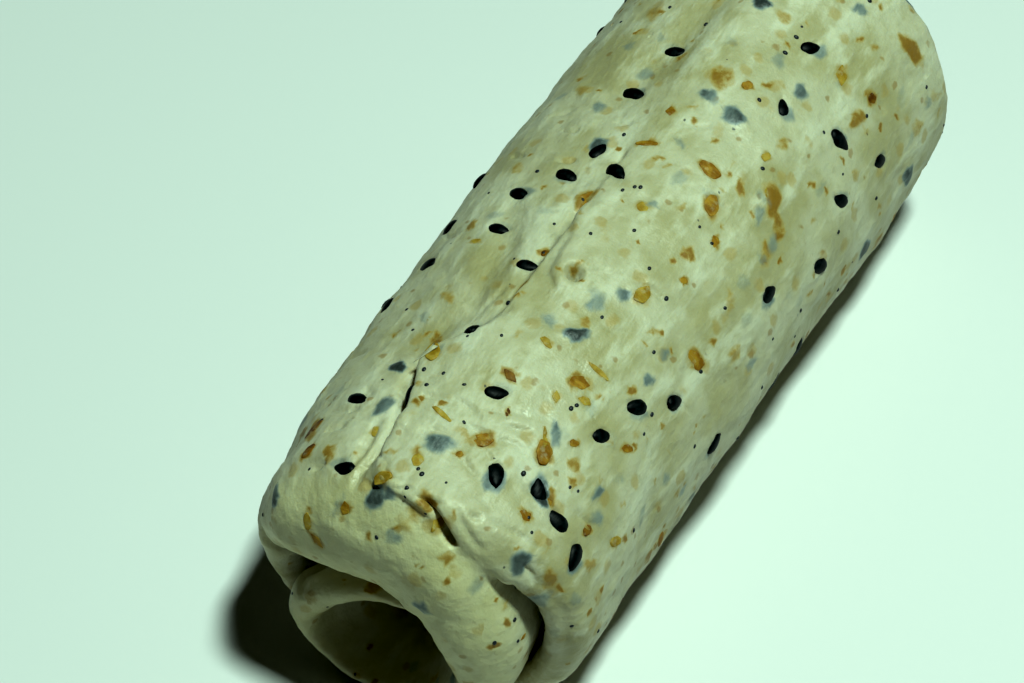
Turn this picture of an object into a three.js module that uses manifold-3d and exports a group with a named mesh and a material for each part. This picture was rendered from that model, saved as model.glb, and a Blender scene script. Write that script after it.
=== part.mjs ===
// A short roll of seeded bagel dough, not yet baked: one sheet of dough rolled up about twice round a hollow, lying
// on its flattened underside, with black sesame seeds and onion flakes half sunk in its skin.
//
// Millimetres, +Z up. The roll lies along Y with its open mouth at -Y. Its origin is the middle of its resting face.

import * as THREE from 'three';
import { mergeVertices } from 'three/addons/utils/BufferGeometryUtils.js';
import Module from 'manifold-3d';

// Roll: the distance between the shoulders of its two ends, and the half widths there.
const ROLL_LENGTH = 92;
const MOUTH_HALF_WIDTH = 20;
const FAR_HALF_WIDTH = 21.1;
const HEIGHT_TO_WIDTH = 0.967;
// Height of the roll's axis, as a share of its half height: under 1, so the soft dough stands on a flat base.
const AXIS_HEIGHT = 0.93;

// Mouth: an oval hollow, left of and below the roll's axis, that narrows as it goes in.
const HOLLOW_X = -3.9;
const HOLLOW_Z = 8;
const HOLLOW_HALF_WIDTH = 9.4;
const HOLLOW_HALF_HEIGHT = 6.2;
const HOLLOW_DEPTH = 30;
// Two grooves part the sheet's turns at the mouth. The right one runs between the outer wrap and the thick lip inside
// it, and the left one between that lip, which is outermost there, and the thin inner edge of the sheet.
const RIGHT_GROOVE = { middle: -5, spread: 45, depth: 8, share: 0.33 };
const LEFT_GROOVE = { middle: 150, spread: 42, depth: 5, share: 0.84 };
// How far each part of the mouth's rim stands out past the shoulder of the outer wrap.
const OUTER_WRAP_OUT = 0.5;
const UPPER_LIP_OUT = 4.6;
const INNER_RIM_OUT = 5;
const INNER_EDGE_OUT = 3.2;
const SHOULDER_BACK = 2.4;

// Seam: the sheet's free edge, a step in the skin along the top that sinks into it away from the mouth.
const SEAM_ANGLE = 105;
const SEAM_HEIGHT = 1.5;
const SEAM_LENGTH = 34;
const SEAM_SLOPE = 45;

// Fineness of the dough's surface.
const AROUND = 56;
const ALONG = 18;

// Seeds and flakes: half sizes, how much of the thickness stands above the skin, and the gap round each.
const SESAME = { length: 1.45, width: 0.9, thickness: 0.55, proud: 0.55, taper: 0.3 };
const FLAKE = { length: 1.5, width: 1.05, thickness: 0.45, proud: 0.5, sides: 7 };
const POCKET_GAP = 0.3;

// Where they lie: [mm along the roll from its middle, degrees round it from the right-hand side, degrees turned].
const SESAME_PLACES = [
  [-38, 127, 80], [-33, 82, 120], [-23, 43, 140], [-29, 47, 140], [-42, 67, 30], [-40, 53, 40], [-41, 43, 90],
  [-42, 30, 20], [-37, 108, 20], [-15, 100, 100], [-26, 102, 30], [-21, 151, 0], [-15, 142, 90], [-8, 146, 20],
  [-10, 120, 90], [-4, 122, 80], [1, 150, 10], [0, 110, 80], [2, 94, 60], [5, 106, 170], [-18, 32, 150],
  [-14, 3, 10], [24, 106, 100], [16, 110, 80], [22, 62, 30], [32, 66, 140], [25, 39, 100], [2, 28, 170],
  [30, 19, 150], [20, 25, 140], [12, 16, 150], [33, 160, 40], [-30, 180, 100], [12, 196, 30], [37, 205, 150],
  [-6, 214, 70],
];
const FLAKE_PLACES = [
  [-12, 63, 170], [8, 69, 80], [4, 62, 30], [-3, 98, 170], [-26, 63, 130], [-12, 35, 100], [-42, 140, 150],
  [21, 83, 30], [-39, 77, 130], [-36, 59, 30], [-31, 108, 30], [32, 52, 30], [11, 49, 30], [26, 178, 60],
];

const DOUGH = new THREE.MeshStandardMaterial({ name: 'dough', color: 0xd6cfae, roughness: 0.7, metalness: 0 });
const BLACK_SEED = new THREE.MeshStandardMaterial({ name: 'black_seed', color: 0x14161a, roughness: 0.4, metalness: 0 });
const ONION = new THREE.MeshStandardMaterial({ name: 'onion', color: 0xb27a24, roughness: 0.5, metalness: 0 });

const HALF_LENGTH = ROLL_LENGTH / 2;
const TURN = 2 * Math.PI;
const radians = THREE.MathUtils.degToRad;
const { lerp, smoothstep } = THREE.MathUtils;

// 1 at the middle angle, falling smoothly to 0 away from it, the short way round.
function bell(degrees, middle, spread) {
  const away = THREE.MathUtils.euclideanModulo(degrees - middle + 180, 360) - 180;
  return Math.exp(-((away / spread) ** 2));
}

// How far the upper layer of the seam stands above the layer under it.
function seamLift(degrees, y) {
  const beside = SEAM_ANGLE - degrees;
  if (beside < 0 || beside > SEAM_SLOPE) return 0;
  const fadeAlong = 1 - smoothstep(y, -HALF_LENGTH, -HALF_LENGTH + SEAM_LENGTH);
  return SEAM_HEIGHT * fadeAlong * (1 - beside / SEAM_SLOPE);
}

// Hand-rolled dough is never quite round: slow swells of a few tenths of a millimetre.
function swell(angle, y) {
  return 0.3 * Math.sin(2 * angle + 0.09 * y) + 0.25 * Math.sin(3 * angle - 0.13 * y + 1);
}

// A point of the roll's skin, or of the same section drawn in towards its axis by a share of its size.
function skin(degrees, y, share = 1) {
  const angle = radians(degrees);
  const across = lerp(MOUTH_HALF_WIDTH, FAR_HALF_WIDTH, (y + HALF_LENGTH) / ROLL_LENGTH);
  const axisHeight = AXIS_HEIGHT * HEIGHT_TO_WIDTH * across;
  const radius = across + seamLift(degrees, y) + swell(angle, y);
  const x = radius * Math.cos(angle);
  const z = Math.max(-axisHeight, HEIGHT_TO_WIDTH * radius * Math.sin(angle));
  return new THREE.Vector3(share * x, y, axisHeight + share * z);
}

// A point of the hollow's wall, or of the same oval drawn in towards its middle.
function hollow(degrees, y, share = 1) {
  const angle = radians(degrees);
  const x = HOLLOW_X + share * HOLLOW_HALF_WIDTH * Math.cos(angle);
  const z = HOLLOW_Z + share * HOLLOW_HALF_HEIGHT * Math.sin(angle);
  return new THREE.Vector3(x, y, z);
}

// 1 between two angles, falling smoothly to 0 over a number of degrees outside them.
function window(degrees, from, to, fall) {
  return smoothstep(degrees, from - fall, from) * (1 - smoothstep(degrees, to, to + fall));
}

// How far in from the skin to the hollow the groove between two turns of the sheet lies.
function grooveShare(degrees) {
  return lerp(RIGHT_GROOVE.share, LEFT_GROOVE.share, window(degrees, 80, 210, 35));
}

function grooveDepth(degrees) {
  const right = RIGHT_GROOVE.depth * bell(degrees, RIGHT_GROOVE.middle, RIGHT_GROOVE.spread);
  const left = LEFT_GROOVE.depth * bell(degrees, LEFT_GROOVE.middle, LEFT_GROOVE.spread);
  return right + left;
}

// A point of the mouth's face. The share runs from 0 at the skin to 1 at the groove, and on to 2 at the hollow.
function face(degrees, share) {
  const toGroove = grooveShare(degrees);
  const outerOut = lerp(OUTER_WRAP_OUT, UPPER_LIP_OUT, window(degrees, 64, 175, 30));
  const innerOut = lerp(INNER_RIM_OUT, INNER_EDGE_OUT, window(degrees, 80, 110, 30));
  const rounding = (part) => Math.sin(Math.min(part / 0.45, 1) * (Math.PI / 2));
  const out = share < 1
    ? lerp(-SHOULDER_BACK, outerOut, rounding(share))
    : lerp(lerp(outerOut, innerOut, 0.5), innerOut, rounding(share - 1)) - 3 * Math.max(share - 1.8, 0) ** 0.5;
  const sunk = grooveDepth(degrees) * Math.max(0, 1 - Math.abs(share - 1) / 0.16);
  const y = -HALF_LENGTH - out + sunk;
  const inward = share < 1 ? share * toGroove : lerp(toGroove, 1, share - 1);
  return skin(degrees, y).lerp(hollow(degrees, y), inward);
}

// The rings that the surface is drawn through, from the far end, over the skin, round the mouth and into the hollow.
// Each takes an angle in degrees and gives a point.
function doughRings() {
  const farEnd = [[0.2, 1.6], [0.34, 3], [0.5, 3.9], [0.66, 4], [0.8, 3.2], [0.9, 1.7], [0.96, -0.2], [0.99, -2.6]];
  const rings = farEnd.map(([share, out]) => (degrees) => skin(degrees, HALF_LENGTH + out, share));

  const firstY = HALF_LENGTH - 5;
  const lastY = -HALF_LENGTH + 5;
  for (let i = 0; i <= ALONG; i += 1) {
    const y = lerp(firstY, lastY, i / ALONG);
    rings.push((degrees) => skin(degrees, y));
  }

  const across = [0.03, 0.1, 0.22, 0.4, 0.65, 0.86, 0.93, 1, 1.07, 1.16, 1.35, 1.6, 1.84, 1.96];
  for (const share of across) rings.push((degrees) => face(degrees, share));

  for (const depth of [0, 5, 10, 15, 20, 24, 27, 29]) {
    const share = Math.sqrt(1 - (depth / HOLLOW_DEPTH) ** 3);
    rings.push((degrees) => hollow(degrees, -HALF_LENGTH + depth, share));
  }
  return rings;
}

// A closed skin through the rings, with a point at each end.
function closedSkin(firstPole, rings, lastPole) {
  const positions = [firstPole, lastPole].flatMap((pole) => pole.toArray());
  const indices = [];
  const corner = (ring, step) => 2 + ring * AROUND + (step % AROUND);
  rings.forEach((ring) => {
    for (let step = 0; step < AROUND; step += 1) positions.push(...ring((360 * step) / AROUND).toArray());
  });
  const last = rings.length - 1;
  for (let step = 0; step < AROUND; step += 1) {
    indices.push(0, corner(0, step + 1), corner(0, step));
    indices.push(1, corner(last, step), corner(last, step + 1));
    for (let ring = 0; ring < last; ring += 1) {
      const [a, b] = [corner(ring, step), corner(ring, step + 1)];
      const [c, d] = [corner(ring + 1, step), corner(ring + 1, step + 1)];
      indices.push(a, b, c, b, d, c);
    }
  }
  const geometry = new THREE.BufferGeometry();
  geometry.setAttribute('position', new THREE.Float32BufferAttribute(positions, 3));
  geometry.setIndex(indices);
  return geometry;
}

function doughGeometry() {
  const farPole = skin(0, HALF_LENGTH + 0.8, 0);
  const hollowEnd = hollow(0, -HALF_LENGTH + HOLLOW_DEPTH, 0);
  return closedSkin(farPole, doughRings(), hollowEnd);
}

// A sesame seed is a flat oval, blunt at one end and pointed at the other. It lies along X, with Z its thickness.
function sesameGeometry(gap) {
  const geometry = new THREE.IcosahedronGeometry(1, 1);
  const position = geometry.getAttribute('position');
  for (let i = 0; i < position.count; i += 1) {
    const narrowing = 1 - SESAME.taper * position.getX(i);
    position.setY(i, position.getY(i) * narrowing);
  }
  return geometry.scale(SESAME.length + gap, SESAME.width + gap, SESAME.thickness + gap);
}

// A chip of dried onion: a flat, uneven many-sided plate.
function flakeGeometry(gap) {
  const outline = new THREE.Shape();
  for (let i = 0; i < FLAKE.sides; i += 1) {
    const angle = (TURN * i) / FLAKE.sides;
    const reach = 1 + 0.12 * Math.sin(2.6 * i);
    const [x, y] = [(FLAKE.length * reach + gap) * Math.cos(angle), (FLAKE.width * reach + gap) * Math.sin(angle)];
    if (i === 0) outline.moveTo(x, y);
    else outline.lineTo(x, y);
  }
  const depth = 2 * (FLAKE.thickness + gap);
  const geometry = new THREE.ExtrudeGeometry(outline, { depth, bevelEnabled: false });
  return geometry.translate(0, 0, -depth / 2);
}

// The place of a seed on the skin: X turned within the skin, Z outwards, its middle sunk to leave it proud.
function seat([along, around, turned], kind) {
  const here = skin(around, along);
  const lengthwise = skin(around, along + 1).sub(here).normalize();
  const outward = skin(around + 3, along).sub(here).cross(lengthwise).negate().normalize();
  const crosswise = outward.clone().cross(lengthwise);
  const basis = new THREE.Matrix4().makeBasis(lengthwise, crosswise, outward);
  const sunk = kind.thickness * (1 - 2 * kind.proud);
  return new THREE.Matrix4()
    .setPosition(here.addScaledVector(outward, -sunk))
    .multiply(basis)
    .multiply(new THREE.Matrix4().makeRotationZ(radians(turned)));
}

const wasm = await Module();
wasm.setup();

function toSolid(geometry) {
  const bare = geometry.clone();
  bare.deleteAttribute('normal');
  bare.deleteAttribute('uv');
  const merged = mergeVertices(bare, 1e-4);
  return new wasm.Manifold(new wasm.Mesh({
    numProp: 3,
    vertProperties: Float32Array.from(merged.getAttribute('position').array),
    triVerts: Uint32Array.from(merged.getIndex().array),
  }));
}

function toGeometry(solid) {
  const { vertProperties, triVerts } = solid.getMesh();
  const geometry = new THREE.BufferGeometry();
  geometry.setAttribute('position', new THREE.BufferAttribute(vertProperties, 3));
  geometry.setIndex(new THREE.BufferAttribute(triVerts, 1));
  geometry.computeVertexNormals();
  return geometry;
}

const roll = new THREE.Group();
let dough = toSolid(doughGeometry());

// Lays one seed or flake in each place, and hollows its pocket in the dough.
function strew(name, places, kind, shape, material) {
  places.forEach((place, index) => {
    const at = seat(place, kind);
    dough = dough.subtract(toSolid(shape(POCKET_GAP).applyMatrix4(at)));
    const mesh = new THREE.Mesh(shape(0), material);
    mesh.name = `${name}_${String(index + 1).padStart(2, '0')}`;
    mesh.applyMatrix4(at);
    roll.add(mesh);
  });
}

strew('black_sesame', SESAME_PLACES, SESAME, sesameGeometry, BLACK_SEED);
strew('onion_flake', FLAKE_PLACES, FLAKE, flakeGeometry, ONION);

const doughMesh = new THREE.Mesh(toGeometry(dough), DOUGH);
doughMesh.name = 'dough_roll';
roll.add(doughMesh);

// The origin goes to the middle of the resting face, under the middle of the whole roll.
const extent = new THREE.Box3().setFromObject(roll, true);
const middle = extent.getCenter(new THREE.Vector3());
roll.position.set(-middle.x, -middle.y, -extent.min.z);

export default roll;
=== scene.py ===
"""A short roll of seeded bagel dough, not yet baked, lying on a pale worktop.

One sheet of dough is rolled up about twice round a hollow that shows at its near end. Black sesame seeds,
chips of dried onion and poppy seeds are kneaded into it: some sit in the skin, and others show through it.
"""

import math
import random

import bpy
import numpy as np
from mathutils import Matrix, Vector
from mathutils.kdtree import KDTree


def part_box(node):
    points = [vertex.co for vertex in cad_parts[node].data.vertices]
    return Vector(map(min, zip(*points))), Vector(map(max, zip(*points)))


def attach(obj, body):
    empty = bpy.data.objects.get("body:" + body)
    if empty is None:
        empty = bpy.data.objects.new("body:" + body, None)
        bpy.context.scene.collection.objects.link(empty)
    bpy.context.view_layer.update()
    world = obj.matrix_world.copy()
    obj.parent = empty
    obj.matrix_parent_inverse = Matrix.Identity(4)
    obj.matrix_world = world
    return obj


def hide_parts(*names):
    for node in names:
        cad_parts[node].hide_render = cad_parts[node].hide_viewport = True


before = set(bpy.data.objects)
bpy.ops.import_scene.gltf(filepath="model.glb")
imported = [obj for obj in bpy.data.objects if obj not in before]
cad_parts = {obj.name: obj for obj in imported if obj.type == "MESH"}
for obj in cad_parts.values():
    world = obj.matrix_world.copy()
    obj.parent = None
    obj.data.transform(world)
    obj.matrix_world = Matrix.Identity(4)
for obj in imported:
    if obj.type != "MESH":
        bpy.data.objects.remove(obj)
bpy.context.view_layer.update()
MM = 0.001


# ----------------------------------------------------------------------------------------------------------
# The dough. A ball of dough is flattened to a long sheet and rolled up round a hollow, seen from the mouth
# anticlockwise, from an inner edge over the hollow to a seam along the top. Where its layers touch they have
# fused, and they stand apart only round the mouth. Sizes here are in millimetres.

dough_low, dough_high = (np.array(corner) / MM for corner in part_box("dough_roll"))
AXIS_X = (dough_low[0] + dough_high[0]) / 2
MOUTH_TIP = dough_low[1]
FAR_TIP = dough_high[1]
MOUTH_ROUNDING = 5
FAR_ROUNDING = 4
NEAR_SHOULDER = MOUTH_TIP + MOUTH_ROUNDING
FAR_SHOULDER = FAR_TIP - FAR_ROUNDING
NEAR_HALF_WIDTH = 20
FAR_HALF_WIDTH = 21.1
HEIGHT_TO_WIDTH = 0.967
AXIS_HEIGHT = 0.93

HOLLOW_X = AXIS_X - 2.6
HOLLOW_Z = 8
HOLLOW_HALF_WIDTH = 8.4
HOLLOW_HALF_HEIGHT = 6.2
HOLLOW_DEPTH = 30
HOLLOW_FLARE = 0.2

INNER_EDGE = 70
SEAM = 105
FUSED = -0.6


def between(value, *points):
    """Interpolates through (place, value) points."""
    places, values = zip(*points)
    return np.interp(value, places, values)


def rise(value, start, end):
    """0 before start and 1 after end, with a smooth rise between them."""
    share = np.clip((value - start) / (end - start), 0, 1)
    return share * share * (3 - 2 * share)


def seam_angle(y):
    """The sheet's outer edge: a lobe near the mouth, then a nearly straight line along the top."""
    return between(y, (-46, 100), (-41, 103), (-36, 107.5), (-33, 111), (-31, 111.5), (-29, 109),
                   (-27.5, 104), (-26, 99), (-24, 95.5), (5, 95), (30, 100))


def seam_thickness(y):
    return between(y, (-46, 1.6), (-30, 1.5), (-24, 1), (-15, 0.7), (5, 0.6))


def half_width(y):
    along = (y - NEAR_SHOULDER) / (FAR_SHOULDER - NEAR_SHOULDER)
    return NEAR_HALF_WIDTH + (FAR_HALF_WIDTH - NEAR_HALF_WIDTH) * along


def skin(degrees, y):
    """x and z of the roll's outline: round, and flat where it lies."""
    angle = np.radians(degrees)
    across = half_width(y)
    axis_height = AXIS_HEIGHT * HEIGHT_TO_WIDTH * across
    radius = across + 0.3 * np.sin(2 * angle + 0.09 * y) + 0.25 * np.sin(3 * angle - 0.13 * y + 1)
    x = AXIS_X + radius * np.cos(angle)
    z = axis_height + np.maximum(-axis_height, HEIGHT_TO_WIDTH * radius * np.sin(angle))
    return x, z


def hollow(degrees, y):
    """x and z of the hollow's outline, which flares at the mouth and closes HOLLOW_DEPTH in from it."""
    angle = np.radians(degrees)
    depth = y - NEAR_SHOULDER
    share = np.sqrt(1 - np.clip(depth / HOLLOW_DEPTH, 0, 1) ** 3) * (1 - HOLLOW_FLARE * rise(depth, -3, 3))
    past = rise(depth, HOLLOW_DEPTH, FAR_SHOULDER - NEAR_SHOULDER)
    middle_x = HOLLOW_X + (AXIS_X - HOLLOW_X) * past
    middle_z = HOLLOW_Z + (AXIS_HEIGHT * HEIGHT_TO_WIDTH * FAR_HALF_WIDTH - HOLLOW_Z) * past
    return (middle_x + share * HOLLOW_HALF_WIDTH * np.cos(angle),
            middle_z + share * HOLLOW_HALF_HEIGHT * np.sin(angle))


def first_turn_outside(rolled, seam_share):
    """How far in from the skin, as a share of the wall, the first turn of the sheet ends."""
    share = between(rolled, (70, 0.93), (90, 0.88), (120, 0.87), (150, 0.76), (180, 0.62), (210, 0.5),
                    (240, 0.42), (270, 0.48), (300, 0.52), (330, 0.42), (360, 0.36), (390, 0.31),
                    (405, 0.29), (415, 0.22), (425, 0.15), (440, 0.08), (465, 0.07))
    return np.where(rolled > 450, np.maximum(seam_share, share), share)


def gap(rolled, y):
    """Millimetres between the first turn and the next at the mouth. Below zero they have fused."""
    width = between(rolled, (70, 1), (90, 2), (150, 2.4), (180, 2), (205, 1.4), (235, 0.4), (290, 0.4),
                    (320, 1.1), (385, 1.1), (402, 0.7), (412, -0.3), (420, FUSED), (465, FUSED))
    depth = between(rolled, (70, 5), (150, 7), (200, 5), (240, 1), (290, 3), (330, 8), (385, 7), (405, 3),
                    (420, 1), (465, 0))
    closed = rise(y, NEAR_SHOULDER + depth - 2, NEAR_SHOULDER + depth + 2)
    return width + (FUSED - width) * closed


def near_rim(rolled):
    """y of the sheet's edge round the mouth."""
    return NEAR_SHOULDER - between(rolled, (70, 2.2), (120, 3.4), (180, 4.6), (230, 5), (310, 4.8),
                                   (360, 4.7), (450, 4.6), (500, 4.2), (540, 3), (580, 1.2), (640, 0),
                                   (720, -0.2), (750, 0), (770, 2), (785, 3.4), (805, 3.8), (825, 2.6))


def far_rim(rolled):
    return FAR_TIP - between(rolled, (70, 4), (300, 1.6), (465, 0.4), (700, 0.3), (780, 0.8), (805, 2),
                             (825, 4.5))


def rolled_up(share_along, rim_turn, rolled_share, thickness_share):
    """A point of the sheet. share_along goes from its near rim to its far one, and rolled_share from its
    inner edge to its seam. rim_turn is the angle round its rims, -90 degrees on the side that faces in and
    90 on the side that faces out. thickness_share is 0 on the line along the middle of an end."""
    rolled = INNER_EDGE + (360 + SEAM + 360 - INNER_EDGE) * rolled_share
    start, end = near_rim(rolled), far_rim(rolled)
    y = start + (end - start) * share_along
    shift = (seam_angle(y) - SEAM) * rise(rolled, 360 + SEAM, 720 + SEAM)
    rolled = rolled + shift
    thick_x, thick_z = skin(rolled, y)
    in_x, in_z = hollow(rolled, y)
    wall = np.hypot(thick_x - in_x, thick_z - in_z)
    seam_share = seam_thickness(y) / wall
    past_seam = rolled - 360 - seam_angle(y)
    share_out = np.where(
        past_seam < 0,
        first_turn_outside(rolled, seam_share) + gap(rolled, y) / 2 / wall,
        seam_share * (1 - rise(past_seam, 0, 60)),
    )
    inner_turn = rolled - 360
    share_in = np.where(
        inner_turn > INNER_EDGE,
        first_turn_outside(inner_turn, seam_share) - gap(inner_turn, y) / 2 / wall,
        1,
    )
    half = (share_in - share_out) / 2 * thickness_share
    share = (share_in + share_out) / 2 - half * np.sin(rim_turn)
    roundness = np.clip(half * wall, 0.5, 5)
    tuck = roundness * (1 - np.cos(rim_turn))
    y = np.where(share_along < 0.5, y + tuck, y - tuck)
    outer_x, outer_z = skin(rolled, y)
    in_x, in_z = hollow(rolled, y)
    return np.stack([outer_x + (in_x - outer_x) * share, y, outer_z + (in_z - outer_z) * share], -1)


bpy.ops.object.select_all(action="DESELECT")
RINGS, SECTION, END_RINGS = 320, 260, 12
bpy.ops.mesh.primitive_uv_sphere_add(segments=SECTION, ring_count=RINGS, radius=1)
dough = bpy.context.object
dough.name = "dough_skin"


def vertex_rows(piece, values):
    """The positions or normals of a piece's points, a row for each."""
    rows = np.empty(len(piece.data.vertices) * 3)
    piece.data.vertices.foreach_get(values, rows)
    return rows.reshape(-1, 3)


ball = vertex_rows(dough, "co")
from_pole = (0.5 - np.arcsin(np.clip(ball[:, 2], -1, 1)) / math.pi) * RINGS
rolled_share = np.clip(from_pole - END_RINGS, 0, RINGS - 2 * END_RINGS) / (RINGS - 2 * END_RINGS)
# The rings nearest each pole close the sheet's end, along a line that they draw in to its middle.
from_end = np.minimum(from_pole, RINGS - from_pole)
thickness_share = (from_end > END_RINGS - 0.5).astype(float)
section = (np.arctan2(ball[:, 1], ball[:, 0]) / (2 * math.pi)) % 1
at_pole = np.abs(ball[:, 2]) > 0.99999
# Round the sheet's section: out along one side, round the far rim, back along the other, round the near rim.
RIM = 0.05
leg = section * 2 % 1
outside = section < 0.5
share_along = np.clip((leg - RIM) / (1 - 2 * RIM), 0, 1)
share_along = np.where(outside, share_along, 1 - share_along)
from_rim = np.minimum(leg, 1 - leg) / RIM
rim_turn = np.where(outside, 1, -1) * np.minimum(from_rim, 1) * math.pi / 2
rim_turn[at_pole] = 0
share_along = 0.5 + (share_along - 0.5) * np.clip(from_end / (END_RINGS - 1), 0, 1)
share_along[at_pole] = 0.5
sheet = rolled_up(share_along, rim_turn, rolled_share, thickness_share) * MM
dough.data.vertices.foreach_set("co", sheet.ravel())
dough.data.update()

GRAIN_OF_SKIN = 0.33
fuse = dough.modifiers.new("fuse", "REMESH")
fuse.mode = "VOXEL"
fuse.voxel_size = GRAIN_OF_SKIN * MM
fuse.use_smooth_shade = True
bpy.ops.object.modifier_apply(modifier=fuse.name)
# The tiny bubbles shut in between fused layers are taken out.
bpy.ops.object.mode_set(mode="EDIT")
bpy.ops.mesh.select_all(action="SELECT")
bpy.ops.mesh.separate(type="LOOSE")
bpy.ops.object.mode_set(mode="OBJECT")
*bubbles, dough = sorted(bpy.context.selected_objects, key=lambda part: len(part.data.vertices))
for bubble in bubbles:
    bpy.data.objects.remove(bubble)
dough.name = "dough_skin"
bpy.context.view_layer.objects.active = dough
soften = dough.modifiers.new("soften", "SMOOTH")
soften.factor = 0.5
soften.iterations = 12
bpy.ops.object.modifier_apply(modifier=soften.name)


def lumpy(name, size, height):
    """Soft lumps of about one size, in and out of the skin."""
    clouds = bpy.data.textures.new(name, "CLOUDS")
    clouds.noise_scale = size * MM
    lumps = dough.modifiers.new(name, "DISPLACE")
    lumps.texture = clouds
    lumps.texture_coords = "LOCAL"
    lumps.strength = height * MM
    bpy.ops.object.modifier_apply(modifier=lumps.name)


lumpy("hand_marks", 11, 0.9)
lumpy("lumps", 3.5, 0.45)
lumpy("pores", 1.2, 0.17)


# ----------------------------------------------------------------------------------------------------------
# The skin's folds: the edges of layers, a slit where the outer wrap meets the lip, pleats beside the seam
# and a dimple. They are drawn on the skin as if it were rolled out flat, in millimetres along and degrees
# round from its right-hand side, and pressed into it. Past the shoulders, along goes on over the round ends.

def rolled_flat(places):
    """Where places lie on the flat skin: millimetres along, degrees round, and millimetres below it."""
    x, y, z = places.T
    across = half_width(y)
    up = z / HEIGHT_TO_WIDTH - AXIS_HEIGHT * across
    round_it = np.degrees(np.arctan2(up, x - AXIS_X)) % 360
    below = np.maximum(across - np.hypot(x - AXIS_X, up), 0)
    along_it = np.where(y < NEAR_SHOULDER + 6, y - below, np.where(y > FAR_SHOULDER - 5, y + below, y))
    return along_it, round_it, below


points = vertex_rows(dough, "co") / MM

# The wall above the hollow sags out over it as a lip.
LIP_SAG = 3.1
LIP_LIFT = 2.4
LIP_SHIFT = 0.8
_, _, below_skin = rolled_flat(points)
lip_bottom = between(points[:, 0], (-12, 19), (4, 18.5), (7, 13), (10, 6))
lip_share = 1 - (1 - np.clip((below_skin - 1.5) / 12, 0, 1)) ** 2
lip_share *= rise(points[:, 2] - lip_bottom, -1.5, 1.5) * (1 - rise(points[:, 1], -47, -36))
points += lip_share[:, None] * (LIP_SHIFT, -LIP_SAG, LIP_LIFT)
dough.data.vertices.foreach_set("co", (points * MM).ravel())
dough.data.update()

# The outer layer is pressed into what it lies on until its edge is gone: at the lip, at the far end, and
# along the far half of the seam.
along, around, _ = rolled_flat(points)
pressed = dough.vertex_groups.new(name="pressed")
along_edge = np.interp(around, (40, 66, 95, 105), (-53, -51.5, -47, -45.5))
closeness = np.exp(-(((along - along_edge) / 3) ** 2)) * rise(around, 38, 50) * (1 - rise(around, 98, 106))
closeness += np.exp(-(((along - 50) / 3) ** 2) - ((around - 100) / 10) ** 2)
closeness += np.exp(-(((around - seam_angle(along)) / 5) ** 2)) * rise(along, 4, 12)
for index in np.flatnonzero(closeness > 0.05):
    pressed.add([int(index)], float(min(closeness[index], 1)), "REPLACE")
press = dough.modifiers.new("press", "SMOOTH")
press.vertex_group = pressed.name
press.factor = 1
press.iterations = 110
bpy.ops.object.modifier_apply(modifier=press.name)
points = vertex_rows(dough, "co") / MM

outward = vertex_rows(dough, "normal")
along, around, below_skin = rolled_flat(points)
near_face = points[:, 1] < NEAR_SHOULDER + 1
far_face = points[:, 1] > FAR_SHOULDER - 5
on_show = (below_skin < 2.5) | near_face | far_face


def stroke(path):
    """For each point, its distance from a line drawn on the skin, its distance to the left of it, and a
    strength that fades out at the line's ends."""
    distance = np.full(len(points), 99.0)
    left = np.zeros(len(points))
    strength = np.zeros(len(points))
    mm_per_degree = np.radians(1) * (half_width(points[:, 1]) - below_skin)
    legs = list(zip(path, path[1:]))
    for step, ((along_a, around_a), (along_b, around_b)) in enumerate(legs):
        u = along - along_a
        v = ((around - around_a + 180) % 360 - 180) * mm_per_degree
        leg_u = along_b - along_a
        leg_v = (around_b - around_a) * mm_per_degree
        share = np.clip((u * leg_u + v * leg_v) / (leg_u ** 2 + leg_v ** 2), 0, 1)
        away = np.hypot(u - share * leg_u, v - share * leg_v)
        closer = away < distance
        distance[closer] = away[closer]
        left[closer] = (away * np.sign(leg_u * v - leg_v * u))[closer]
        strength[closer] = np.sin(np.pi * (step + share[closer]) / len(legs)) ** 0.5
    return distance, left, strength


def crease(depth, width, *path):
    distance, _, strength = stroke(path)
    return -depth * strength * np.exp(-((distance / width) ** 2))


def layer_edge(height, slope, *path):
    """The edge of a layer that lies on the left of the path and sinks into the skin behind it."""
    distance, left, strength = stroke(path)
    return height * strength * rise(left, -0.3, 0.3) * np.exp(-((distance / slope) ** 2))


def swelling(height, along_middle, around_middle, half_length, half_breadth):
    mm_round = ((around - around_middle + 180) % 360 - 180) * np.radians(1) * NEAR_HALF_WIDTH
    reach = np.hypot((along - along_middle) / half_length, mm_round / half_breadth)
    return height * np.exp(-(reach ** 2))


chance = random.Random(31)


def wrinkle(along_low, along_high, around_low, around_high):
    """A short, faint crease somewhere in a band of the skin."""
    start = chance.uniform(along_low, along_high), chance.uniform(around_low, around_high)
    end = start[0] + chance.uniform(-1.5, 1.5), start[1] + chance.choice((-1, 1)) * chance.uniform(4, 12)
    middle = (start[0] + end[0]) / 2 + chance.uniform(-0.6, 0.6), (start[1] + end[1]) / 2
    return crease(chance.uniform(0.2, 0.5), chance.uniform(0.25, 0.45), start, middle, end)


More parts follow.
